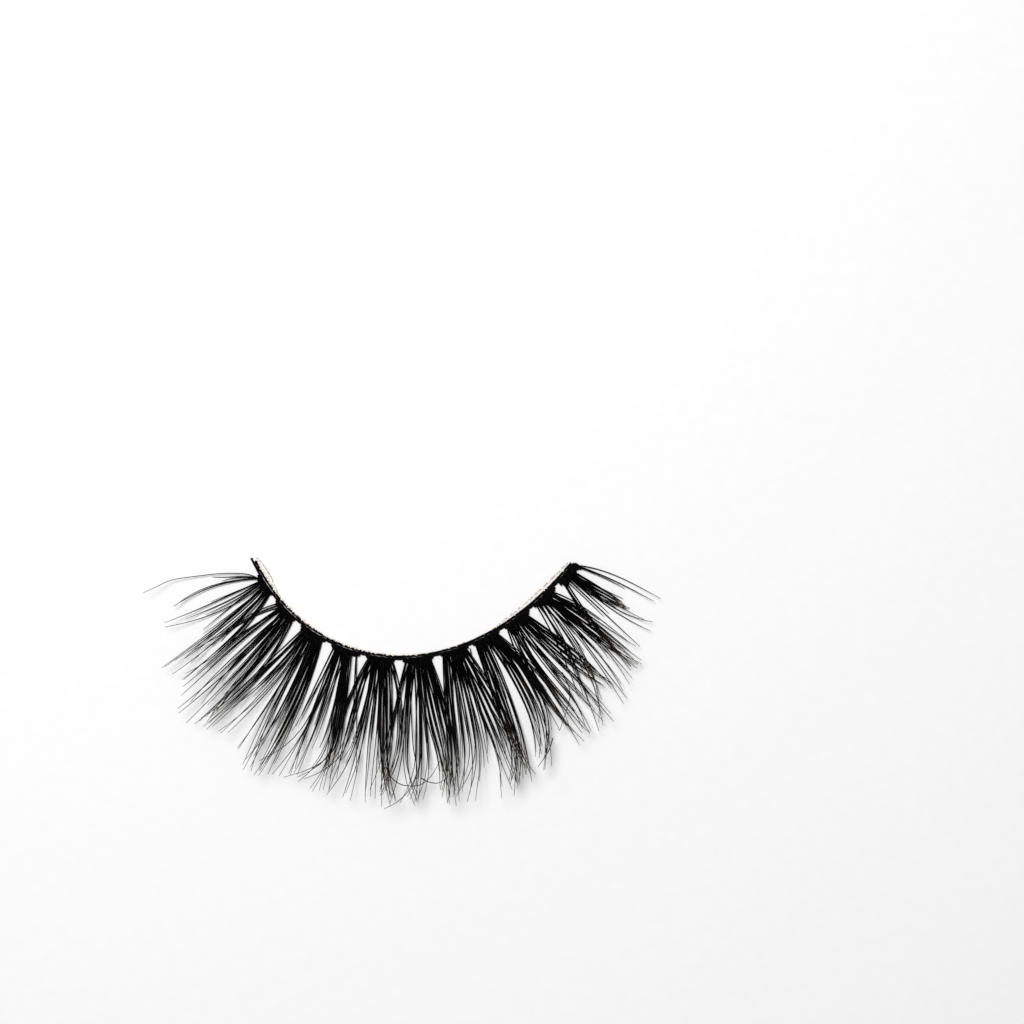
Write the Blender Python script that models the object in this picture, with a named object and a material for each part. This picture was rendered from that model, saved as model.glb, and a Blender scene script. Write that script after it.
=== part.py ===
# A false eyelash strip that lies on its band: a black thread band bent to the lid's curve,
# eleven fans of lash hair along its outer edge, and two films of dried glue on its inner edge.
# Metres, +Z up. The band's middle lies at the origin, its underside on z = 0.
# +X runs along the strip, +Y points to the eyelid side, and the hair reaches towards -Y.

import math

import bmesh
import bpy
from mathutils import Matrix, Vector

# Driving sizes
BAND_LENGTH = 0.034
BAND_WIDTH = 0.00044
BAND_HEIGHT = 0.0004
BAND_EDGE = 0.00008
BAND_PARTS = 27
STUB_WIDTH = 0.00030
LASH_LENGTH = 0.0129
LASH_LIFT = 0.0034
FLAT_RUN = 0.0044
ROOT_DEPTH = 0.0008
ROOT_SPREAD = 0.0018
ROOT_HEIGHT = 0.00060
ROOT_EDGE = 0.00008
ROOT_TAPER = 0.90
ROOT_MARGIN = 0.13
LOCK_SEAT = 0.40
WINDOW = 0.0010
LOCK_WIDTH = 0.00056
LOCK_TIP = 0.00014
LOCK_RINGS = 8
FILM_WIDTH = 0.00040
FILM_THICKNESS = 0.00014
FILM_EDGE = 0.000028
FILM_SIT = 0.00012
FILM_END_WIDTH = 0.45
FILM_END_RUN = 0.25
CLEARANCE = 0.00005
MOST_MARGIN = 0.45

# ROOT_TAPER is how wide a root is where its hair leaves it, as a share of its width at the
# band. ROOT_MARGIN is the share of a root's width beyond its outer locks, and LOCK_SEAT the
# share of its depth at which the locks start. FILM_END_WIDTH is a film's width at its ends,
# as a share of its full width, and FILM_END_RUN the share of its length that each end takes.
# MOST_MARGIN is the most room, as a share, that a lock leaves beside it at a parting.

# How the band bends: heading of its centre line in degrees, at shares of its length
BEND = [
    {"at": 0.00, "heading": -64.0},
    {"at": 0.25, "heading": -35.5},
    {"at": 0.50, "heading": 4.5},
    {"at": 0.75, "heading": 32.0},
    {"at": 1.00, "heading": 50.0},
]

# The lines that part one fan from the next, from the left end to the right. "at" is a share
# of the band's length, "lean" is in degrees from -Y, positive to the right, and "reach" is
# a share of the lash length.
PARTINGS = [
    {"at": 0.036, "lean": -78.0, "reach": 0.75},
    {"at": 0.110, "lean": -46.0, "reach": 0.92},
    {"at": 0.205, "lean": -39.0, "reach": 0.93},
    {"at": 0.295, "lean": -27.0, "reach": 0.96},
    {"at": 0.391, "lean": -11.0, "reach": 0.97},
    {"at": 0.478, "lean": -0.5, "reach": 1.00},
    {"at": 0.575, "lean": 8.0, "reach": 1.00},
    {"at": 0.665, "lean": 23.5, "reach": 0.99},
    {"at": 0.756, "lean": 31.0, "reach": 0.93},
    {"at": 0.852, "lean": 44.5, "reach": 0.80},
    {"at": 0.936, "lean": 57.0, "reach": 0.72},
    {"at": 0.996, "lean": 74.0, "reach": 0.60},
]

# The locks of one fan, from side to side. "across" is the place between the two partings
# where the lock leaves the root, "tip" its place between them at the tip, "reach" a share
# of the partings' own reach, and "girth" a share of the lock width.
LOCKS = [
    {"across": 0.00, "tip": 0.00, "reach": 0.96, "girth": 0.75},
    {"across": 0.16, "tip": 0.11, "reach": 1.00, "girth": 0.95},
    {"across": 0.33, "tip": 0.34, "reach": 0.90, "girth": 1.00},
    {"across": 0.50, "tip": 0.46, "reach": 0.96, "girth": 1.00},
    {"across": 0.67, "tip": 0.70, "reach": 1.00, "girth": 1.00},
    {"across": 0.84, "tip": 0.82, "reach": 0.94, "girth": 0.95},
    {"across": 1.00, "tip": 1.00, "reach": 0.88, "girth": 0.75},
]

# How a lock's thickness runs from its root to its tip, as shares of its girth
TAPER = [
    {"along": 0.00, "girth": 0.86},
    {"along": 0.25, "girth": 1.00},
    {"along": 0.60, "girth": 0.86},
    {"along": 1.00, "girth": 0.00},
]

# The two films of dried glue, as shares of the band's length
FILMS = [
    {"name": "glue_film_left", "start": 0.006, "end": 0.125, "width": 1.00},
    {"name": "glue_film_right", "start": 0.730, "end": 0.985, "width": 0.80},
]


def clear_scene():
    for thing in list(bpy.data.objects):
        bpy.data.objects.remove(thing, do_unlink=True)


def new_collection(name):
    collection = bpy.data.collections.new(name)
    bpy.context.scene.collection.children.link(collection)
    return collection


def material(name, colour, roughness):
    made = bpy.data.materials.new(name)
    made.use_nodes = True
    shader = made.node_tree.nodes["Principled BSDF"]
    shader.inputs["Base Color"].default_value = (*colour, 1.0)
    shader.inputs["Roughness"].default_value = roughness
    shader.inputs["Metallic"].default_value = 0.0
    return made


def thread_black():
    return material("thread_black", (0.012, 0.012, 0.013), 0.65)


def hair_black():
    return material("hair_black", (0.008, 0.008, 0.009), 0.42)


def glue_beige():
    return material("glue_beige", (0.74, 0.66, 0.54), 0.35)


def blend(low, high, share):
    return low + (high - low) * share


def smooth(share):
    share = min(max(share, 0.0), 1.0)
    return share * share * (3.0 - 2.0 * share)


def read_table(rows, key, column, place):
    """A column's value at a place between two rows, on a smooth line through the rows."""
    last = len(rows) - 1
    step = 0
    while step < last - 1 and place > rows[step + 1][key]:
        step += 1
    values = [row[column] for row in rows]
    places = [row[key] for row in rows]

    def slope(row):
        before = max(row - 1, 0)
        after = min(row + 1, last)
        return (values[after] - values[before]) / (places[after] - places[before])

    span = places[step + 1] - places[step]
    share = (place - places[step]) / span
    rise = values[step + 1] - values[step]
    start = slope(step) * span
    end = slope(step + 1) * span
    curve = (start + end - 2.0 * rise) * share + (3.0 * rise - 2.0 * start - end)
    return values[step] + start * share + curve * share * share


def band_heading(place):
    return math.radians(read_table(BEND, "at", "heading", place))


def band_point(place):
    """Centre of the band at a share of its length, walked from the band's middle."""
    strides = 64
    step = (place - 0.5) / strides
    x = 0.0
    y = 0.0
    for stride in range(strides):
        heading = band_heading(0.5 + step * (stride + 0.5))
        x += math.cos(heading) * step * BAND_LENGTH
        y += math.sin(heading) * step * BAND_LENGTH
    return Vector((x, y, 0.0))


def lid_side(place):
    """The way from the band to the eyelid, square to the band."""
    heading = band_heading(place)
    return Vector((-math.sin(heading), math.cos(heading), 0.0))


def lift(distance):
    """How far the hair has curled up, at a distance from the band."""
    past = max(distance - FLAT_RUN, 0.0) / max(LASH_LENGTH - FLAT_RUN, FLAT_RUN)
    return LASH_LIFT * past * past


def profile(name, width, height, cut, collection):
    """A rectangle with its corners cut, which a curve carries along its length."""
    corners = []
    for side, top in ((1, 1), (-1, 1), (-1, -1), (1, -1)):
        low = Vector((side * width / 2, top * (height / 2 - cut)))
        high = Vector((side * (width / 2 - cut), top * height / 2))
        corners += [low, high] if side * top > 0 else [high, low]
    data = bpy.data.curves.new(name, "CURVE")
    data.dimensions = "2D"
    line = data.splines.new("POLY")
    line.points.add(len(corners) - 1)
    for point, corner in zip(line.points, corners):
        point.co = (corner.x, corner.y, 0.0, 1.0)
    line.use_cyclic_u = True
    guide = bpy.data.objects.new(name, data)
    guide.hide_render = True
    guide.display_type = "WIRE"
    collection.objects.link(guide)
    return guide


def swept_strip(name, points, widths, guide, finish, collection):
    """A strip with the guide's section along the points, as wide as each width says."""
    data = bpy.data.curves.new(name, "CURVE")
    data.dimensions = "3D"
    data.twist_mode = "Z_UP"
    data.bevel_mode = "OBJECT"
    data.bevel_object = guide
    data.use_fill_caps = True
    line = data.splines.new("POLY")
    line.points.add(len(points) - 1)
    for point, place, width in zip(line.points, points, widths):
        point.co = (*place, 1.0)
        point.radius = width
    data.materials.append(finish)
    strip = bpy.data.objects.new(name, data)
    collection.objects.link(strip)
    return mesh_from_curve(strip, collection)


def mesh_from_curve(curve_object, collection):
    """The curve's evaluated shape as a mesh object with welded caps."""
    graph = bpy.context.evaluated_depsgraph_get()
    mesh = bpy.data.meshes.new_from_object(curve_object.evaluated_get(graph))
    shell = bmesh.new()
    shell.from_mesh(mesh)
    bmesh.ops.remove_doubles(shell, verts=shell.verts, dist=0.000001)
    bmesh.ops.recalc_face_normals(shell, faces=shell.faces)
    shell.to_mesh(mesh)
    shell.free()
    name = curve_object.name
    place = curve_object.matrix_world.copy()
    data = curve_object.data
    bpy.data.objects.remove(curve_object, do_unlink=True)
    bpy.data.curves.remove(data)
    made = bpy.data.objects.new(name, mesh)
    made.matrix_world = place
    collection.objects.link(made)
    return made


def band_width(place):
    """The band's width at a place, as a share of its full width: only a stub at the left."""
    stub_end = PARTINGS[0]["at"]
    return blend(STUB_WIDTH / BAND_WIDTH, 1.0, smooth((place - stub_end * 0.5) / stub_end))


def inner_edge(place):
    """How far the band's inner edge lies from its centre line. The outer edge runs true."""
    return (band_width(place) - 0.5) * BAND_WIDTH


def band(finish, parts, guides):
    """The thread band, with a thin bare stub at its left end."""
    points = []
    widths = []
    for station in range(BAND_PARTS + 1):
        place = station / BAND_PARTS
        width = band_width(place)
        aside = lid_side(place) * (inner_edge(place) - width * BAND_WIDTH / 2)
        points.append(band_point(place) + aside + Vector((0, 0, width * BAND_HEIGHT / 2)))
        widths.append(width)
    guide = profile("band_section", BAND_WIDTH, BAND_HEIGHT, BAND_EDGE, guides)
    return swept_strip("band", points, widths, guide, finish, parts)


def glue_film(row, finish, parts, guides):
    """A film of dried glue along the band's inner edge, thin at both of its ends."""
    points = []
    widths = []
    stations = max(int((row["end"] - row["start"]) * BAND_PARTS * 2), 6)
    for station in range(stations + 1):
        along = station / stations
        place = blend(row["start"], row["end"], along)
        full = blend(FILM_END_WIDTH, 1.0, smooth(min(along, 1.0 - along) / FILM_END_RUN))
        width = FILM_WIDTH * row["width"] * full
        aside = lid_side(place) * (inner_edge(place) + CLEARANCE + width / 2)
        points.append(band_point(place) + aside + Vector((0, 0, FILM_SIT + FILM_THICKNESS / 2)))
        widths.append(full)
    section = f"{row['name']}_section"
    guide = profile(section, FILM_WIDTH * row["width"], FILM_THICKNESS, FILM_EDGE, guides)
    return swept_strip(row["name"], points, widths, guide, finish, parts)


def parting_point(row, share):
    """A point on a parting, at a share of its reach, and its distance from the band."""
    start = band_point(row["at"]) - lid_side(row["at"]) * (BAND_WIDTH / 2 + CLEARANCE)
    lean = math.radians(row["lean"])
    way = Vector((math.sin(lean), -math.cos(lean), 0.0))
    distance = row["reach"] * LASH_LENGTH * share
    return start + way * distance, distance


def root_ends(left, right):
    """The shares of the band's length between which a fan is knotted on."""
    half_window = WINDOW / 2 / BAND_LENGTH
    middle = (left["at"] + right["at"]) / 2
    start = min(left["at"] + half_window, middle - half_window)
    end = max(right["at"] - half_window, middle + half_window)
    return start, end


def lock_line(left, right, lock):
    """Centre points of one lock and its thickness at each, from root to tip."""
    start, end = root_ends(left, right)
    root_row = blend(start, end, blend(ROOT_MARGIN, 1.0 - ROOT_MARGIN, lock["across"]))
    root = band_point(root_row) - lid_side(root_row) * (BAND_WIDTH / 2 + CLEARANCE)
    points = []
    girths = []
    for ring in range(LOCK_RINGS):
        along = ring / (LOCK_RINGS - 1)
        thick = read_table(TAPER, "along", "girth", along) * lock["girth"] * LOCK_WIDTH
        thick = max(thick, LOCK_TIP)
        share = along * lock["reach"]
        left_point, left_far = parting_point(left, share)
        right_point, right_far = parting_point(right, share)
        across = blend(lock["across"], lock["tip"], smooth(along))
        far = blend(left_far, right_far, across)
        if ring == 0:
            point = root - lid_side(root_row) * ROOT_DEPTH * LOCK_SEAT
        else:
            room = (right_point - left_point).length
            margin = min((thick + CLEARANCE) / 2 / room, MOST_MARGIN)
            wide = left_point.lerp(right_point, blend(margin, 1.0 - margin, across))
            narrow = root - lid_side(root_row) * far
            point = narrow.lerp(wide, smooth(far / ROOT_SPREAD))
        point.z = ROOT_HEIGHT / 2 + lift(far)
        points.append(point)
        girths.append(thick)
    return points, girths


def lock_tube(name, points, girths, collection):
    data = bpy.data.curves.new(name, "CURVE")
    data.dimensions = "3D"
    data.twist_mode = "Z_UP"
    data.bevel_depth = LOCK_WIDTH / 2
    data.bevel_resolution = 1
    data.use_fill_caps = True
    line = data.splines.new("POLY")
    line.points.add(len(points) - 1)
    for point, place, girth in zip(line.points, points, girths):
        point.co = (*place, 1.0)
        point.radius = girth / LOCK_WIDTH
    tube = bpy.data.objects.new(name, data)
    collection.objects.link(tube)
    return tube


def root_block(name, left, right, finish, collection):
    """The knotted root of a fan: a flat block, narrower where the hair leaves it."""
    start, end = root_ends(left, right)
    middle = (start + end) / 2
    width = (end - start) * BAND_LENGTH
    shell = bmesh.new()
    bmesh.ops.create_cube(shell, size=1.0)
    bmesh.ops.scale(shell, vec=(width, ROOT_DEPTH, ROOT_HEIGHT), verts=shell.verts)
    for vert in shell.verts:
        if vert.co.y < 0:
            vert.co.x *= ROOT_TAPER
    bmesh.ops.bevel(shell, geom=shell.edges[:], offset=ROOT_EDGE, segments=1,
                    affect="EDGES", profile=0.5, material=-1)
    aside = BAND_WIDTH / 2 + CLEARANCE + ROOT_DEPTH / 2
    place = band_point(middle) - lid_side(middle) * aside + Vector((0, 0, ROOT_HEIGHT / 2))
    mesh = bpy.data.meshes.new(name)
    shell.to_mesh(mesh)
    shell.free()
    mesh.materials.append(finish)
    block = bpy.data.objects.new(name, mesh)
    block.matrix_world = Matrix.Translation(place) @ Matrix.Rotation(band_heading(middle), 4, "Z")
    collection.objects.link(block)
    return block


def hair_fan(number, left, right, finish, parts, guides):
    """One fan: its locks joined to its root block as one body."""
    name = f"hair_fan_{number:02d}"
    block = root_block(name, left, right, finish, parts)
    for count, row in enumerate(LOCKS):
        lock = row if number % 2 else dict(row, across=1.0 - row["across"], tip=1.0 - row["tip"])
        points, girths = lock_line(left, right, lock)
        tube = mesh_from_curve(lock_tube(f"{name}_lock_{count + 1}", points, girths, guides), guides)
        tube.hide_render = True
        tube.display_type = "WIRE"
        tube.data.materials.append(finish)
        join = block.modifiers.new(f"lock_{count + 1}", "BOOLEAN")
        join.operation = "UNION"
        join.solver = "EXACT"
        join.object = tube
    return block


def build():
    clear_scene()
    parts = new_collection("false_eyelash_strip")
    guides = new_collection("guides")
    strip = bpy.data.objects.new("strip", None)
    parts.objects.link(strip)
    thread = thread_black()
    hair = hair_black()
    glue = glue_beige()
    pieces = [band(thread, parts, guides)]
    pieces += [glue_film(row, glue, parts, guides) for row in FILMS]
    for number, (left, right) in enumerate(zip(PARTINGS, PARTINGS[1:]), start=1):
        pieces.append(hair_fan(number, left, right, hair, parts, guides))
    for piece in pieces:
        piece.parent = strip
    bpy.context.view_layer.update()


build()
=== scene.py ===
import math

import bmesh
import bpy
import numpy as np
from mathutils import Matrix, Vector


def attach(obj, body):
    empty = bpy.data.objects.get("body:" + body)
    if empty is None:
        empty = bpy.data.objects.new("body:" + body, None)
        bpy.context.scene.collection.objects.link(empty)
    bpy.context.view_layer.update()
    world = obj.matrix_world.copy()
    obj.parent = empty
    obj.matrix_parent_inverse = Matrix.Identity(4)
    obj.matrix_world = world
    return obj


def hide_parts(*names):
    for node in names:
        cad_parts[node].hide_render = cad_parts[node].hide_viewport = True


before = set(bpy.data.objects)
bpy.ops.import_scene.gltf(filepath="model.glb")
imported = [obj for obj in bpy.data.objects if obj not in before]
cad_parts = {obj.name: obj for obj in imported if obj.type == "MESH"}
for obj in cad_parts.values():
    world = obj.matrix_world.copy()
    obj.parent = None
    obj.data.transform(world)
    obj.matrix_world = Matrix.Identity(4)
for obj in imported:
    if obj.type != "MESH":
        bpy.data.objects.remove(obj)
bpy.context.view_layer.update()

# Thread band
# Two fine black cotton threads, twisted and waxed, lie side by side along the lid's curve.
# The outer one carries the hair. It runs on past the first fan as a bare stub, where the
# inner one has already been cut.

BAND_LENGTH = 0.034
BAND_HEADINGS = [(0.0, -64.0), (0.25, -35.5), (0.5, 4.5), (0.75, 32.0), (1.0, 50.0)]
# How far the real band strays from that even bend, towards the eyelid
BAND_DRIFT = [(0.0, -0.00003), (0.15, -0.00010), (0.38, 0.00011), (0.5, -0.00003),
              (0.75, -0.00024), (1.0, -0.00020)]
THREAD_WIDTH = 0.00022
THREAD_TURN = 0.00062
THREAD_SIDES = 12
THREAD_RINGS = 420
PLY_DEPTH = 0.14


def easy_line(rows, place):
    """A value at a place, on a smooth line through rows of (place, value)."""
    last = len(rows) - 1
    step = 0
    while step < last - 1 and place > rows[step + 1][0]:
        step += 1

    def slope(row):
        before, after = max(row - 1, 0), min(row + 1, last)
        return (rows[after][1] - rows[before][1]) / (rows[after][0] - rows[before][0])

    span = rows[step + 1][0] - rows[step][0]
    share = (place - rows[step][0]) / span
    rise = rows[step + 1][1] - rows[step][1]
    start, end = slope(step) * span, slope(step + 1) * span
    bend = (start + end - 2 * rise) * share + (3 * rise - 2 * start - end)
    return rows[step][1] + start * share + bend * share * share


def lid_heading(place):
    return math.radians(easy_line(BAND_HEADINGS, place))


def to_lid(place):
    """The way from the band to the eyelid, square to the band."""
    heading = lid_heading(place)
    return Vector((-math.sin(heading), math.cos(heading), 0.0))


def lid_point(place):
    """A point of the band's centre line on the table, at a share of the band's length."""
    strides = 48
    step = (place - 0.5) / strides
    spot = Vector((0.0, 0.0, 0.0))
    for stride in range(strides):
        heading = lid_heading(0.5 + step * (stride + 0.5))
        spot += Vector((math.cos(heading), math.sin(heading), 0.0)) * step * BAND_LENGTH
    return spot + to_lid(place) * easy_line(BAND_DRIFT, place)


LID_PLACES = np.linspace(-0.01, 1.01, 511)
LID_POINTS = np.array([lid_point(place) for place in LID_PLACES])


def near_lid(place, aside=0.0, height=0.0):
    """A point beside the band: aside towards the eyelid, height above the table."""
    spot = Vector([np.interp(place, LID_PLACES, LID_POINTS[:, axis]) for axis in range(3)])
    return spot + to_lid(place) * aside + Vector((0.0, 0.0, height))


def black_thread_material():
    made = bpy.data.materials.new("waxed_black_thread")
    made.use_nodes = True
    nodes, links = made.node_tree.nodes, made.node_tree.links
    shader = nodes["Principled BSDF"]
    shader.inputs["Specular IOR Level"].default_value = 0.02
    place = nodes.new("ShaderNodeTexCoord")
    fibre = nodes.new("ShaderNodeTexNoise")
    fibre.inputs["Scale"].default_value = 16000.0
    fibre.inputs["Detail"].default_value = 4.0
    tone = nodes.new("ShaderNodeValToRGB")
    tone.color_ramp.elements[0].position = 0.35
    tone.color_ramp.elements[0].color = (0.0012, 0.0012, 0.0014, 1)
    tone.color_ramp.elements[1].position = 0.75
    tone.color_ramp.elements[1].color = (0.0080, 0.0076, 0.0076, 1)
    rough = nodes.new("ShaderNodeMapRange")
    rough.inputs["To Min"].default_value = 0.42
    rough.inputs["To Max"].default_value = 0.72
    bump = nodes.new("ShaderNodeBump")
    bump.inputs["Strength"].default_value = 0.6
    bump.inputs["Distance"].default_value = 0.00002
    links.new(place.outputs["Object"], fibre.inputs["Vector"])
    links.new(fibre.outputs["Fac"], tone.inputs["Fac"])
    links.new(tone.outputs["Color"], shader.inputs["Base Color"])
    links.new(fibre.outputs["Fac"], rough.inputs["Value"])
    links.new(rough.outputs["Result"], shader.inputs["Roughness"])
    links.new(fibre.outputs["Fac"], bump.inputs["Height"])
    links.new(bump.outputs["Normal"], shader.inputs["Normal"])
    return made


THREAD_BLACK = black_thread_material()


def show(name, shell, finish, smooth=True):
    """Puts a finished bmesh in the scene as a piece."""
    mesh = bpy.data.meshes.new(name)
    shell.to_mesh(mesh)
    shell.free()
    mesh.materials.append(finish)
    if smooth:
        mesh.shade_smooth()
    piece = bpy.data.objects.new(name, mesh)
    bpy.context.scene.collection.objects.link(piece)
    return piece


def match_ring(ring, last_ring):
    """The new ring's corners in the order of the ring that it grew from."""
    fresh = set(ring)
    order = []
    for vert in last_ring:
        order += [edge.other_vert(vert) for edge in vert.link_edges if edge.other_vert(vert) in fresh]
    return order


def twisted_thread(name, start, end, aside, phase):
    """A two-ply thread: a round cord whose two plies show as a winding groove."""
    shell = bmesh.new()
    ring = bmesh.ops.create_circle(shell, cap_ends=True, segments=THREAD_SIDES, radius=1.0)["verts"]
    circle = [vert.co.copy() for vert in ring]
    edges = list({edge for vert in ring for edge in vert.link_edges})
    for count in range(THREAD_RINGS):
        place = start + (end - start) * count / (THREAD_RINGS - 1)
        if count:
            grown = bmesh.ops.extrude_edge_only(shell, edges=edges)["geom"]
            fresh = [item for item in grown if isinstance(item, bmesh.types.BMVert)]
            edges = [item for item in grown if isinstance(item, bmesh.types.BMEdge)
                     and item.verts[0] in fresh and item.verts[1] in fresh]
            ring = match_ring(fresh, ring)
        turn = place * BAND_LENGTH / THREAD_TURN * math.tau + phase
        wander = math.sin(place * 71.0 + phase) * THREAD_WIDTH * 0.05
        middle = near_lid(place, aside + wander, THREAD_WIDTH / 2)
        along = Matrix.Rotation(lid_heading(place) + math.pi / 2, 3, "Z")
        for vert, corner in zip(ring, circle):
            angle = math.atan2(corner.y, corner.x)
            ply = 1.0 - PLY_DEPTH * abs(math.sin(angle + turn / 2))
            flat = Vector((corner.x, 0.0, corner.y)) * ply * THREAD_WIDTH / 2
            vert.co = middle + along @ flat
    bmesh.ops.contextual_create(shell, geom=edges)
    bmesh.ops.recalc_face_normals(shell, faces=shell.faces)
    return show(name, shell, THREAD_BLACK)


outer_thread = twisted_thread("outer_thread", 0.0, 1.0, -THREAD_WIDTH * 0.50, 0.0)
inner_thread = twisted_thread("inner_thread", 0.011, 0.996, THREAD_WIDTH * 0.50, 1.7)
for thread in (outer_thread, inner_thread):
    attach(thread, "root")
    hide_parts("band")

# Root knots
# Each fan is knotted on its own short stretch of the outer thread. The knots are half
# hitches of the hair itself, pulled tight side by side and set with a touch of glue.

FANS = [
    {"fan": 1, "from": 0.052, "to": 0.100, "reach": 0.0108},
    {"fan": 2, "from": 0.130, "to": 0.187, "reach": 0.0119},
    {"fan": 3, "from": 0.219, "to": 0.280, "reach": 0.0122},
    {"fan": 4, "from": 0.310, "to": 0.374, "reach": 0.0124},
    {"fan": 5, "from": 0.402, "to": 0.463, "reach": 0.0127},
    {"fan": 6, "from": 0.495, "to": 0.560, "reach": 0.0129},
    {"fan": 7, "from": 0.591, "to": 0.652, "reach": 0.0128},
    {"fan": 8, "from": 0.676, "to": 0.738, "reach": 0.0124},
    {"fan": 9, "from": 0.766, "to": 0.830, "reach": 0.0112},
    {"fan": 10, "from": 0.857, "to": 0.917, "reach": 0.0098},
    {"fan": 11, "from": 0.943, "to": 0.998, "reach": 0.0085, "knot": 1.8},
]
KNOT_PITCH = 0.00016
KNOT_LENGTH = 0.00044
KNOT_HEIGHT = 0.00036
KNOT_FLARE = 0.006

knots = bmesh.new()
chance = np.random.default_rng(7)
for fan in FANS:
    start, end = fan["from"] - KNOT_FLARE, fan["to"] + KNOT_FLARE
    count = int((end - start) * BAND_LENGTH / KNOT_PITCH)
    for knot in range(count):
        share = (knot + 0.5) / count
        place = start + (end - start) * share
        grow = 1.0 + chance.uniform(-0.18, 0.18)
        short = 0.55 if knot in (0, count - 1) else 1.0
        depth = KNOT_LENGTH * fan.get("knot", 1.0) * grow * short
        spot = near_lid(place, -THREAD_WIDTH * 0.7 - depth * 0.36, KNOT_HEIGHT * 0.5 * grow)
        turn = Matrix.Rotation(lid_heading(place) + (share - 0.5) * 0.5, 4, "Z")
        size = Matrix.Diagonal((KNOT_PITCH * 0.72, depth * 0.55, KNOT_HEIGHT * 0.49 * grow, 1))
        bmesh.ops.create_uvsphere(knots, u_segments=10, v_segments=7, radius=1.0,
                                  matrix=Matrix.Translation(spot) @ turn @ size)
root_knots = show("root_knots", knots, THREAD_BLACK)
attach(root_knots, "root")

# Hair fans
# Each fan is some forty tapered synthetic fibres, knotted in one row. They cross each
# other, stick together in small bunches and curl up and sideways at their fine tips.

PIXEL = BAND_LENGTH / 391
BAND_MIDDLE_ON_PHOTO = (406.9, 657.2)
VIEW_MIDDLE_ON_PHOTO = (512.0, 512.0)
CAMERA_HEIGHT = 0.25
HAIR_WIDTH = 0.000102
HAIR_TIP = 0.000040
ROOT_GIRTH = 0.40
HAIR_SIDES = 4
HAIR_RINGS = 14
ROOT_LOW = 0.00008
ROOT_HIGH = 0.00040
FLAT_RUN = 0.0044
LASH_LENGTH = 0.0129
LASH_LIFT = 0.0034
BUNCH_SIZE = 4
BUNCH_PULL = 0.45
SEAT_SPREAD = 0.15
SHORT_SHARE = 0.42
SWEEP_START = 0.62
SWEEP_MOST = 2.4

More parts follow.
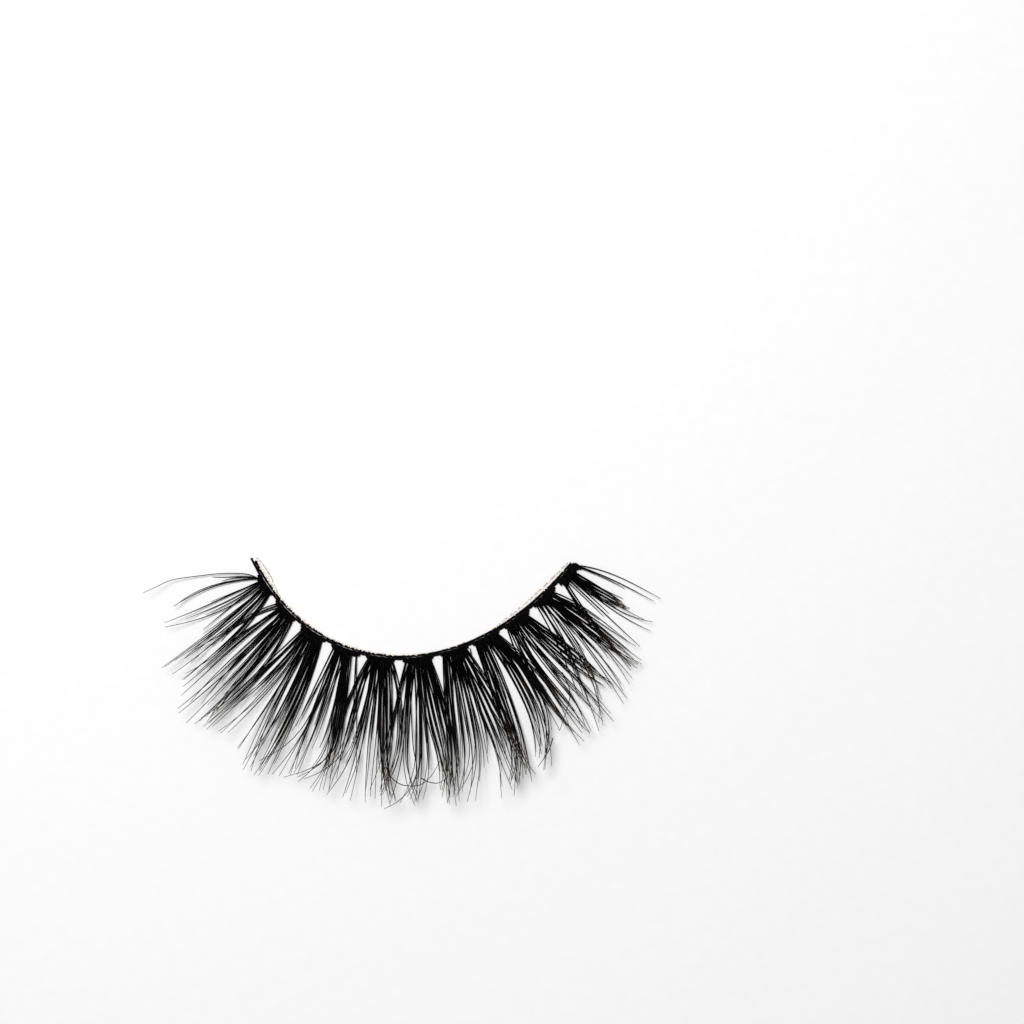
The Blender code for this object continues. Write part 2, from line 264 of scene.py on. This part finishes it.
# A tuft's middle and tip are spots of the photograph, and its spreads and hook are pixels
# too. Its seat is the share of the root row, from the left, that it leaves from, and its
# hook is how far its tips sweep sideways.
TUFT_COLUMNS = ("fan", "seat", "mid", "tip", "hairs", "mid_spread", "tip_spread", "hook")
TUFTS = [dict(zip(TUFT_COLUMNS, row)) for row in (
    (1, 0.05, (214, 586), (171, 607), 2, 2.0, 2.0, 0),
    (1, 0.10, (240, 577), (213, 582), 2, 2.0, 4.0, 0),
    (1, 0.20, (222, 598), (166, 621), 2, 4.0, 5.0, 0),
    (1, 0.30, (222, 606), (168, 626), 3, 8.0, 8.0, 0),
    (1, 0.45, (226, 619), (163, 664), 5, 8.0, 6.0, 0),
    (1, 0.70, (227, 628), (172, 672), 5, 8.0, 6.0, 0),
    (1, 0.90, (235, 634), (184, 680), 5, 7.0, 6.0, 0),
    (2, 0.20, (237, 624), (180, 664), 3, 4.0, 8.0, 0),
    (2, 0.30, (231, 645), (180, 690), 4, 8.0, 7.0, 0),
    (2, 0.45, (232, 660), (178, 708), 5, 10.0, 8.0, 0),
    (2, 0.60, (243, 665), (192, 722), 12, 11.0, 9.0, 0),
    (2, 0.88, (257, 667), (207, 722), 9, 9.0, 8.0, 0),
    (3, 0.20, (267, 672), (210, 726), 9, 8.0, 8.0, 0),
    (3, 0.25, (274, 680), (224, 734), 4, 8.0, 7.0, 0),
    (3, 0.35, (275, 693), (232, 757), 2, 3.0, 2.0, 0),
    (3, 0.50, (284, 694), (245, 765), 9, 8.0, 6.0, 0),
    (3, 0.75, (295, 700), (256, 774), 13, 6.5, 2.5, 0),
    (3, 0.85, (301, 702), (270, 768), 2, 4.0, 5.0, 0),
    (4, 0.15, (312, 705), (276, 774), 7, 8.0, 8.0, -6),
    (4, 0.25, (318, 709), (292, 782), 7, 7.0, 6.0, 0),
    (4, 0.40, (330, 715), (305, 783), 6, 8.0, 7.0, -4),
    (4, 0.45, (337, 725), (316, 784), 6, 6.0, 6.0, -16),
    (4, 0.60, (338, 718), (325, 796), 10, 8.0, 9.0, -7),
    (4, 0.85, (355, 700), (353, 786), 2, 4.0, 5.0, 0),
    (5, 0.15, (349, 712), (333, 788), 8, 8.0, 8.0, -8),
    (5, 0.20, (358, 728), (332, 792), 5, 6.0, 6.0, -14),
    (5, 0.30, (364, 722), (345, 799), 4, 8.0, 8.0, -3),
    (5, 0.45, (375, 728), (367, 801), 8, 7.0, 8.0, 0),
    (5, 0.60, (383, 725), (382, 804), 13, 5.0, 6.0, 5),
    (5, 0.80, (390, 714), (386, 790), 5, 4.0, 6.0, -6),
    (5, 0.85, (400, 715), (396, 790), 4, 5.0, 7.0, -5),
    (6, 0.10, (394, 718), (381, 790), 4, 4.0, 7.0, 0),
    (6, 0.20, (403, 728), (394, 802), 4, 6.0, 6.0, -8),
    (6, 0.30, (407, 730), (407, 805), 4, 5.0, 7.0, 7),
    (6, 0.45, (422, 730), (425, 803), 10, 7.0, 9.0, -8),
    (6, 0.68, (435, 722), (454, 796), 13, 8.0, 6.0, -8),
    (6, 0.82, (445, 722), (457, 798), 13, 7.0, 5.0, -5),
    (7, 0.10, (450, 722), (459, 800), 10, 5.0, 6.0, -6),
    (7, 0.30, (459, 724), (466, 798), 6, 6.0, 6.0, -9),
    (7, 0.45, (470, 721), (479, 797), 7, 7.0, 7.0, -12),
    (7, 0.60, (479, 716), (490, 774), 6, 6.0, 6.0, -3),
    (7, 0.70, (487, 714), (515, 786), 12, 8.0, 9.0, -6),
    (7, 0.82, (496, 706), (530, 773), 10, 7.0, 6.0, 0),
    (8, 0.15, (503, 712), (528, 784), 13, 6.0, 6.0, -8),
    (8, 0.35, (511, 706), (531, 780), 7, 4.0, 5.0, -8),
    (8, 0.58, (523, 690), (546, 754), 11, 6.0, 7.0, -3),
    (8, 0.70, (534, 690), (556, 763), 12, 7.0, 7.0, -6),
    (8, 0.82, (540, 682), (566, 726), 10, 8.0, 8.0, 0),
    (9, 0.15, (542, 684), (583, 741), 9, 8.0, 7.0, 0),
    (9, 0.35, (551, 675), (598, 730), 7, 8.0, 7.0, -6),
    (9, 0.50, (558, 666), (609, 713), 8, 8.0, 7.0, -3),
    (9, 0.72, (566, 652), (609, 686), 17, 8.0, 5.0, 0),
    (10, 0.15, (568, 656), (597, 729), 5, 6.0, 6.0, -5),
    (10, 0.25, (577, 650), (611, 718), 5, 7.0, 7.0, -5),
    (10, 0.35, (577, 637), (622, 699), 4, 6.0, 8.0, -3),
    (10, 0.45, (583, 631), (632, 684), 7, 7.0, 8.0, -4),
    (10, 0.60, (586, 624), (636, 666), 21, 8.0, 11.0, 0),
    (10, 0.70, (588, 613), (634, 650), 4, 5.0, 8.0, 0),
    (11, 0.15, (591, 622), (630, 664), 4, 6.0, 8.0, 0),
    (11, 0.30, (602, 610), (640, 644), 3, 8.0, 8.0, 0),
    (11, 0.50, (607, 602), (650, 626), 4, 7.0, 8.0, 0),
    (11, 0.55, (596, 591), (627, 604), 17, 6.0, 5.0, 0),
    (11, 0.85, (614, 582), (656, 606), 2, 3.0, 3.5, 0),
    (11, 0.92, (614, 575), (662, 601), 1, 1.5, 2.0, 0),
)]


def on_photo(spot):
    """Where a spot near the table shows in the photograph."""
    return np.array([BAND_MIDDLE_ON_PHOTO[0] + spot[0] / PIXEL,
                     BAND_MIDDLE_ON_PHOTO[1] - spot[1] / PIXEL])


def from_photo(flat, height):
    """Places in metres of photographed spots, each at its height above the table."""
    plan = (flat - np.array(BAND_MIDDLE_ON_PHOTO)) * PIXEL * (1.0, -1.0)
    eye = (np.array(VIEW_MIDDLE_ON_PHOTO) - np.array(BAND_MIDDLE_ON_PHOTO)) * PIXEL * (1.0, -1.0)
    nearer = (height / CAMERA_HEIGHT)[..., None]
    return np.concatenate([plan + (eye - plan) * nearer, height[..., None]], axis=-1)


def lift(distance):
    """How high the hair has curled, at a distance from the band."""
    past = np.clip(distance - FLAT_RUN, 0.0, None) / (LASH_LENGTH - FLAT_RUN)
    return LASH_LIFT * past ** 2


def walked(flat):
    """How far each spot of each route lies from the route's start, in metres."""
    steps = np.linalg.norm(np.diff(flat, axis=1), axis=2) * PIXEL
    return np.concatenate([np.zeros((len(flat), 1)), np.cumsum(steps, axis=1)], axis=1)


def tuft_routes(fan, tuft):
    """The routes of one tuft's hairs: from the knots through the middle to the tip."""
    hairs = tuft["hairs"]
    middle, tip = np.array(tuft["mid"], dtype=float), np.array(tuft["tip"], dtype=float)
    lean = (np.arange(hairs) + 0.5) / hairs * 2 - 1 + chance.normal(0.0, 0.35 / hairs, hairs)
    crossing = np.where(np.arange(hairs) % 2, SEAT_SPREAD, -SEAT_SPREAD)
    seats = np.clip(tuft["seat"] + crossing * lean, 0.02, 0.98)
    places = fan["from"] + (fan["to"] - fan["from"]) * seats
    roots = np.array([on_photo(near_lid(place, -THREAD_WIDTH * 0.6)) for place in places])
    reach = tip - roots.mean(axis=0)
    along = reach / np.linalg.norm(reach)
    across = np.array([-along[1], along[0]])
    swap = np.clip(0.55 * lean + chance.normal(0.0, 0.5, hairs), -1.4, 1.4)
    middles = middle + np.outer(lean * tuft["mid_spread"], across)
    tips = (tip + np.outer(swap * tuft["tip_spread"], across)
            + np.outer(chance.normal(0, 2.0, hairs), along))
    bunch = np.arange(hairs) // BUNCH_SIZE
    for number in range(bunch[-1] + 1):
        stuck = bunch == number
        middles[stuck] += (middles[stuck].mean(axis=0) - middles[stuck]) * BUNCH_PULL
        tips[stuck] += (tips[stuck].mean(axis=0) - tips[stuck]) * BUNCH_PULL
    bends = 2 * middles - (roots + tips) / 2
    cut = np.where(chance.random(hairs) < SHORT_SHARE, chance.uniform(0.12, 0.48, hairs), 0.0)
    short = 1.03 - np.abs(chance.normal(0.0, 0.08, hairs)) - cut
    t = np.linspace(0.0, 1.0, HAIR_RINGS)[None, :, None] * short[:, None, None]
    flat = (roots[:, None] * (1 - t) ** 2 + bends[:, None] * 2 * t * (1 - t) + tips[:, None] * t ** 2)
    late = np.clip((t - SWEEP_START) / (1.0 - SWEEP_START), 0.0, 1.0) ** 2.2
    sweep = tuft["hook"] * np.minimum(chance.gamma(1.5, 1.3, hairs), SWEEP_MOST)
    sweep += chance.normal(0.0, 2.2, hairs)
    flat = flat - across * sweep[:, None, None] * late
    far = walked(flat)
    far *= np.minimum(1.0, fan["reach"] / far[:, -1:])
    seat_height = chance.uniform(ROOT_LOW, ROOT_HIGH, hairs)[:, None]
    height = seat_height + lift(far) * chance.uniform(0.86, 1.0, hairs)[:, None]
    return from_photo(flat, height)


def fibre_material():
    made = bpy.data.materials.new("black_lash_fibre")
    made.use_nodes = True
    nodes, links = made.node_tree.nodes, made.node_tree.links
    shader = nodes["Principled BSDF"]
    shader.inputs["Specular IOR Level"].default_value = 0.02
    chart = nodes.new("ShaderNodeUVMap")
    chart.uv_map = "fibre"
    split = nodes.new("ShaderNodeSeparateXYZ")
    tone = nodes.new("ShaderNodeValToRGB")
    stops = tone.color_ramp.elements
    stops[0].position = 0.0
    stops[0].color = (0.0010, 0.0010, 0.0012, 1)
    stops[1].position = 1.0
    stops[1].color = (0.030, 0.022, 0.018, 1)
    middle = stops.new(0.72)
    middle.color = (0.0020, 0.0018, 0.0018, 1)
    dye = nodes.new("ShaderNodeMix")
    dye.data_type = "RGBA"
    dye.blend_type = "MULTIPLY"
    dye.inputs[0].default_value = 1.0
    shade = nodes.new("ShaderNodeMapRange")
    shade.inputs["To Min"].default_value = 0.7
    shade.inputs["To Max"].default_value = 1.9
    place = nodes.new("ShaderNodeTexCoord")
    scale = nodes.new("ShaderNodeTexNoise")
    scale.inputs["Scale"].default_value = 9000.0
    scale.inputs["Detail"].default_value = 3.0
    rough = nodes.new("ShaderNodeMapRange")
    rough.inputs["To Min"].default_value = 0.30
    rough.inputs["To Max"].default_value = 0.55
    bump = nodes.new("ShaderNodeBump")
    bump.inputs["Strength"].default_value = 0.35
    bump.inputs["Distance"].default_value = 0.000006
    links.new(chart.outputs["UV"], split.inputs["Vector"])
    links.new(split.outputs["Y"], tone.inputs["Fac"])
    links.new(split.outputs["X"], shade.inputs["Value"])
    links.new(tone.outputs["Color"], dye.inputs[6])
    links.new(shade.outputs["Result"], dye.inputs[7])
    links.new(dye.outputs[2], shader.inputs["Base Color"])
    links.new(place.outputs["Object"], scale.inputs["Vector"])
    links.new(scale.outputs["Fac"], rough.inputs["Value"])
    links.new(rough.outputs["Result"], shader.inputs["Roughness"])
    links.new(scale.outputs["Fac"], bump.inputs["Height"])
    links.new(bump.outputs["Normal"], shader.inputs["Normal"])
    return made


FIBRE_BLACK = fibre_material()


def tapered(routes, girth):
    """A fibre's thickness along its routes: thickest at the root, then down to a fine tip."""
    share = np.linspace(0.0, 1.0, routes.shape[1])
    root = 1.0 + ROOT_GIRTH * np.clip(1.0 - share / 0.35, 0.0, 1.0)
    left = 1.0 - np.clip((share - 0.35) / 0.65, 0.0, 1.0) ** 1.9
    return HAIR_TIP + (girth[:, None] * root - HAIR_TIP) * left


def fibres(name, routes, widths):
    """One mesh of tapered fibres. routes is (hair, ring, xyz), and widths is (hair, ring)."""
    hairs, rings, _ = routes.shape
    ahead = np.gradient(routes, axis=1)
    ahead /= np.linalg.norm(ahead, axis=2, keepdims=True)
    sideways = np.cross(np.array([0.0, 0.0, 1.0]), ahead)
    sideways /= np.linalg.norm(sideways, axis=2, keepdims=True)
    upward = np.cross(ahead, sideways)
    angles = np.arange(HAIR_SIDES) * math.tau / HAIR_SIDES
    ring = (np.cos(angles)[:, None] * sideways[:, :, None, :]
            + np.sin(angles)[:, None] * upward[:, :, None, :])
    verts = routes[:, :, None, :] + ring * widths[:, :, None, None] / 2
    first = np.arange(hairs)[:, None, None] * rings * HAIR_SIDES
    step = np.arange(rings - 1)[None, :, None] * HAIR_SIDES
    side = np.arange(HAIR_SIDES)[None, None, :]
    after = (side + 1) % HAIR_SIDES
    low, high = first + step, first + step + HAIR_SIDES
    quads = np.stack([low + side, low + after, high + after, high + side], axis=3).reshape(-1, 4)
    starts = (first[:, 0] + side[0, :, ::-1]).reshape(-1, HAIR_SIDES)
    ends = (first[:, 0] + (rings - 1) * HAIR_SIDES + side[0]).reshape(-1, HAIR_SIDES)
    mesh = bpy.data.meshes.new(name)
    faces = quads.tolist() + starts.tolist() + ends.tolist()
    mesh.from_pydata(verts.reshape(-1, 3).tolist(), [], faces)
    chart = mesh.uv_layers.new(name="fibre")
    corner = np.zeros(len(mesh.loops), dtype=np.int32)
    mesh.loops.foreach_get("vertex_index", corner)
    dye = np.repeat(chance.random(hairs), rings * HAIR_SIDES)
    along = np.tile(np.repeat(np.linspace(0.0, 1.0, rings), HAIR_SIDES), hairs)
    chart.data.foreach_set("uv", np.stack([dye[corner], along[corner]], axis=1).ravel())
    mesh.materials.append(FIBRE_BLACK)
    mesh.shade_smooth()
    piece = bpy.data.objects.new(name, mesh)
    bpy.context.scene.collection.objects.link(piece)
    return piece


for fan in FANS:
    number = fan["fan"]
    routes = np.concatenate([tuft_routes(fan, tuft) for tuft in TUFTS if tuft["fan"] == number])
    hair = fibres(f"lash_hair_{number:02d}", routes,
                  tapered(routes, HAIR_WIDTH * chance.uniform(0.8, 1.15, len(routes))))
    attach(hair, "root")
    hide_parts(f"hair_fan_{number:02d}")

# Stray hairs
# A few fibres have come away from their tufts: one long sweep at the outer corner, some
# hooked ends below the middle and one loose loop that lies across two fans.

STRAYS = [
    [(260, 579), (246, 574), (222, 573.5), (198, 576), (172, 580), (156, 587), (143, 593)],
    [(386, 767), (391, 777), (400, 784), (411, 786), (422, 784), (432, 775), (440, 761)],
    [(421, 778), (429, 782), (438, 783), (446, 779)],
    [(410, 690), (413, 745), (417, 770), (409, 790), (397, 802), (384, 809)],
    [(562, 672), (570, 695), (560, 730)],
    [(553, 738), (548, 752), (538, 767)],
    [(470, 648), (473, 662), (478, 676)],
]


def smooth_route(spots, rings):
    """An even walk along a soft curve through the spots."""
    spots = np.array(spots, dtype=float)
    place = np.arange(len(spots))
    walk = np.linspace(0, len(spots) - 1, rings)
    tangent = np.gradient(spots, axis=0)
    step = np.clip(walk.astype(int), 0, len(spots) - 2)
    t = (walk - place[step])[:, None]
    a, b, ma, mb = spots[step], spots[step + 1], tangent[step], tangent[step + 1]
    return (a * (2 * t**3 - 3 * t**2 + 1) + b * (3 * t**2 - 2 * t**3)
            + ma * (t**3 - 2 * t**2 + t) + mb * (t**3 - t**2))


stray_flat = np.array([smooth_route(spots, HAIR_RINGS * 2) for spots in STRAYS])
on_table = from_photo(stray_flat, np.zeros(stray_flat.shape[:2]))
from_band = np.linalg.norm(on_table[:, :, None] - LID_POINTS[None, None], axis=3).min(axis=2)
stray_routes = from_photo(stray_flat, ROOT_HIGH + lift(np.minimum(from_band, LASH_LENGTH * 0.95)))
stray_hairs = fibres("stray_hairs", stray_routes,
                     tapered(stray_routes, np.full(len(STRAYS), HAIR_WIDTH * 0.7)))
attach(stray_hairs, "root")

# Dried glue
# Lash glue, brushed on to hold the band to the lid, has dried along the inner edge as a
# thin clear film with brown flecks. Its far edge carries a broken brown line of painted shade,
# standing in for the dark line that refraction draws at a clear film's edge. It has left pale crumbs in
# the thread's twist.

FILMS = [
    {"name": "dried_glue_left", "node": "glue_film_left", "from": 0.004, "to": 0.122, "width": 0.00042,
     "shares": [(0.0, 0.35), (0.2, 0.9), (0.45, 1.0), (0.7, 0.75), (1.0, 0.12)]},
    {"name": "dried_glue_right", "node": "glue_film_right", "from": 0.730, "to": 0.990, "width": 0.00031,
     "shares": [(0.0, 0.12), (0.15, 0.65), (0.5, 1.0), (0.85, 0.9), (1.0, 0.6)]},
]
FILM_STEP = 0.00008
FILM_THICKNESS = 0.00005
FILM_HEIGHT = 0.00019
FILM_CROWN = 0.00003


def dried_glue_material(name, clearness):
    """Dried glue: pale and clear at this share, with brown flecks and a broken edge line of painted
    shade.
    """
    made = bpy.data.materials.new(name)
    made.use_nodes = True
    nodes, links = made.node_tree.nodes, made.node_tree.links
    shader = nodes["Principled BSDF"]
    shader.inputs["Roughness"].default_value = 0.35
    shader.inputs["Specular IOR Level"].default_value = 0.2
    chart = nodes.new("ShaderNodeUVMap")
    chart.uv_map = "film"
    split = nodes.new("ShaderNodeSeparateXYZ")
    # Painted shade: a broken dark line along the film's far edge, standing in for the dark line that
    # refraction draws there
    edge_shade_band = nodes.new("ShaderNodeMapRange")
    edge_shade_band.inputs["From Min"].default_value = 0.76
    edge_shade_band.inputs["From Max"].default_value = 0.90
    place = nodes.new("ShaderNodeTexCoord")
    edge_shade_noise = nodes.new("ShaderNodeTexNoise")
    edge_shade_noise.inputs["Scale"].default_value = 5200.0
    edge_shade_noise.inputs["Detail"].default_value = 3.0
    edge_shade_broken = nodes.new("ShaderNodeMapRange")
    edge_shade_broken.inputs["From Min"].default_value = 0.44
    edge_shade_broken.inputs["From Max"].default_value = 0.56
    edge_shade_line = nodes.new("ShaderNodeMath")
    edge_shade_line.operation = "MULTIPLY"
    specks = nodes.new("ShaderNodeTexNoise")
    specks.inputs["Scale"].default_value = 9500.0
    specks.inputs["Detail"].default_value = 2.0
    fleck = nodes.new("ShaderNodeMapRange")
    fleck.inputs["From Min"].default_value = 0.65
    fleck.inputs["From Max"].default_value = 0.73
    specks_and_edge_shade = nodes.new("ShaderNodeMath")
    specks_and_edge_shade.operation = "MAXIMUM"
    tone = nodes.new("ShaderNodeMix")
    tone.data_type = "RGBA"
    tone.inputs[6].default_value = (0.97, 0.90, 0.80, 1)
    # One brown serves both the real flecks and the painted edge shade
    tone.inputs[7].default_value = (0.26, 0.15, 0.08, 1)
    clear = nodes.new("ShaderNodeMapRange")
    clear.inputs["To Min"].default_value = clearness
    clear.inputs["To Max"].default_value = 0.96
    bump = nodes.new("ShaderNodeBump")
    bump.inputs["Strength"].default_value = 0.5
    bump.inputs["Distance"].default_value = 0.00003
    links.new(chart.outputs["UV"], split.inputs["Vector"])
    links.new(split.outputs["Y"], edge_shade_band.inputs["Value"])
    links.new(place.outputs["Object"], edge_shade_noise.inputs["Vector"])
    links.new(edge_shade_noise.outputs["Fac"], edge_shade_broken.inputs["Value"])
    links.new(edge_shade_band.outputs["Result"], edge_shade_line.inputs[0])
    links.new(edge_shade_broken.outputs["Result"], edge_shade_line.inputs[1])
    links.new(place.outputs["Object"], specks.inputs["Vector"])
    links.new(specks.outputs["Fac"], fleck.inputs["Value"])
    links.new(edge_shade_line.outputs["Value"], specks_and_edge_shade.inputs[0])
    links.new(fleck.outputs["Result"], specks_and_edge_shade.inputs[1])
    links.new(specks_and_edge_shade.outputs["Value"], tone.inputs[0])
    links.new(tone.outputs[2], shader.inputs["Base Color"])
    links.new(specks_and_edge_shade.outputs["Value"], clear.inputs["Value"])
    links.new(clear.outputs["Result"], shader.inputs["Alpha"])
    links.new(specks.outputs["Fac"], bump.inputs["Height"])
    links.new(bump.outputs["Normal"], shader.inputs["Normal"])
    return made


FILM_FINISH = dried_glue_material("dried_glue_film", 0.05)

for film in FILMS:
    sheet = bmesh.new()
    chart = sheet.loops.layers.uv.new("film")
    steps = int((film["to"] - film["from"]) * BAND_LENGTH / FILM_STEP)
    bmesh.ops.create_grid(sheet, x_segments=steps, y_segments=8, size=0.5)
    for face in sheet.faces:
        for loop in face.loops:
            loop[chart].uv = (loop.vert.co.x + 0.5, loop.vert.co.y + 0.5)
    ragged = np.convolve(chance.normal(0.0, 1.0, steps + 1), [0.2, 0.6, 0.2], mode="same")
    for vert in sheet.verts:
        along, across = vert.co.x + 0.5, vert.co.y + 0.5
        narrow = easy_line(film["shares"], along) * (1.0 + 0.10 * ragged[round(along * steps)])
        place = film["from"] + (film["to"] - film["from"]) * along
        crown = FILM_HEIGHT + FILM_CROWN * math.sin(across * math.pi)
        vert.co = near_lid(place, THREAD_WIDTH * 0.96 + film["width"] * narrow * across, crown)
    bmesh.ops.recalc_face_normals(sheet, faces=sheet.faces)
    glue = show(film["name"], sheet, FILM_FINISH)
    wall = glue.modifiers.new("film_thickness", "SOLIDIFY")
    wall.thickness = FILM_THICKNESS
    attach(glue, "root")
    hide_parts(film["node"])

# Where the crumbs sit: start and end as shares of the band's length, and how many
CRUMB_STRETCHES = [(0.02, 0.12, 22), (0.12, 0.26, 50), (0.27, 0.47, 90), (0.49, 0.57, 22),
                   (0.60, 0.98, 26)]
CRUMB_SIZES = (0.000035, 0.000080)
crumbs = bmesh.new()
crumbs.loops.layers.uv.new("film")
for start, end, count in CRUMB_STRETCHES:
    for place in chance.uniform(start, end, count):
        size = chance.uniform(*CRUMB_SIZES)
        aside = THREAD_WIDTH * chance.uniform(0.78, 1.34)
        spot = near_lid(place, aside, THREAD_WIDTH * chance.uniform(0.70, 1.0))
        shape = Matrix.Diagonal((*chance.uniform(0.6, 1.5, 3), 1.0))
        spin = Matrix.Rotation(chance.uniform(0, math.tau), 4, "Z")
        bmesh.ops.create_icosphere(crumbs, subdivisions=1, radius=size,
                                   matrix=Matrix.Translation(spot) @ spin @ shape)
glue_crumbs = show("glue_crumbs", crumbs, dried_glue_material("dried_glue_crumb", 0.92))
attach(glue_crumbs, "root")

# Table, light and camera
# The strip lies on plain white card under a broad soft lamp set towards the eyelid side,
# and it is looked at from straight above.

CARD_SIZE = 1.6


def card_material():
    made = bpy.data.materials.new("white_card")
    made.use_nodes = True
    nodes, links = made.node_tree.nodes, made.node_tree.links
    shader = nodes["Principled BSDF"]
    shader.inputs["Roughness"].default_value = 0.9
    shader.inputs["Specular IOR Level"].default_value = 0.1
    place = nodes.new("ShaderNodeTexCoord")
    grain = nodes.new("ShaderNodeTexNoise")
    grain.inputs["Scale"].default_value = 900.0
    grain.inputs["Detail"].default_value = 4.0
    tone = nodes.new("ShaderNodeValToRGB")
    tone.color_ramp.elements[0].color = (0.86, 0.86, 0.86, 1)
    tone.color_ramp.elements[1].color = (0.90, 0.90, 0.90, 1)
    bump = nodes.new("ShaderNodeBump")
    bump.inputs["Strength"].default_value = 0.12
    bump.inputs["Distance"].default_value = 0.0002
    links.new(place.outputs["Object"], grain.inputs["Vector"])
    links.new(grain.outputs["Fac"], tone.inputs["Fac"])
    links.new(tone.outputs["Color"], shader.inputs["Base Color"])
    links.new(grain.outputs["Fac"], bump.inputs["Height"])
    links.new(bump.outputs["Normal"], shader.inputs["Normal"])
    return made


card_shape = bmesh.new()
bmesh.ops.create_grid(card_shape, x_segments=2, y_segments=2, size=CARD_SIZE / 2)
card = show("white_card", card_shape, card_material(), smooth=False)

world = bpy.data.worlds.new("pale_room")
world.use_nodes = True
world.node_tree.nodes["Background"].inputs["Color"].default_value = (1.0, 1.0, 1.0, 1.0)
world.node_tree.nodes["Background"].inputs["Strength"].default_value = 0.30
bpy.context.scene.world = world


def soft_lamp(name, spot, aim, size, power):
    data = bpy.data.lights.new(name, "AREA")
    data.shape = "DISK"
    data.size = size
    data.energy = power
    lamp = bpy.data.objects.new(name, data)
    lamp.location = spot
    lamp.rotation_euler = (Vector(aim) - Vector(spot)).to_track_quat("-Z", "Y").to_euler()
    bpy.context.scene.collection.objects.link(lamp)


soft_lamp("overhead_softbox", (-0.06, 0.12, 0.36), (0.0, 0.0, 0.0), 0.14, 1.31)

view_middle = from_photo(np.array([VIEW_MIDDLE_ON_PHOTO]), np.zeros(1))[0]
lens = bpy.data.cameras.new("straight_down")
lens.sensor_width = 36.0
lens.lens = lens.sensor_width * CAMERA_HEIGHT / (1024 * PIXEL)
lens.clip_start = 0.01
lens.clip_end = 5.0
camera = bpy.data.objects.new("straight_down", lens)
camera.location = (view_middle[0], view_middle[1], CAMERA_HEIGHT)
bpy.context.scene.collection.objects.link(camera)
bpy.context.scene.camera = camera
bpy.context.scene.view_settings.view_transform = "Standard"
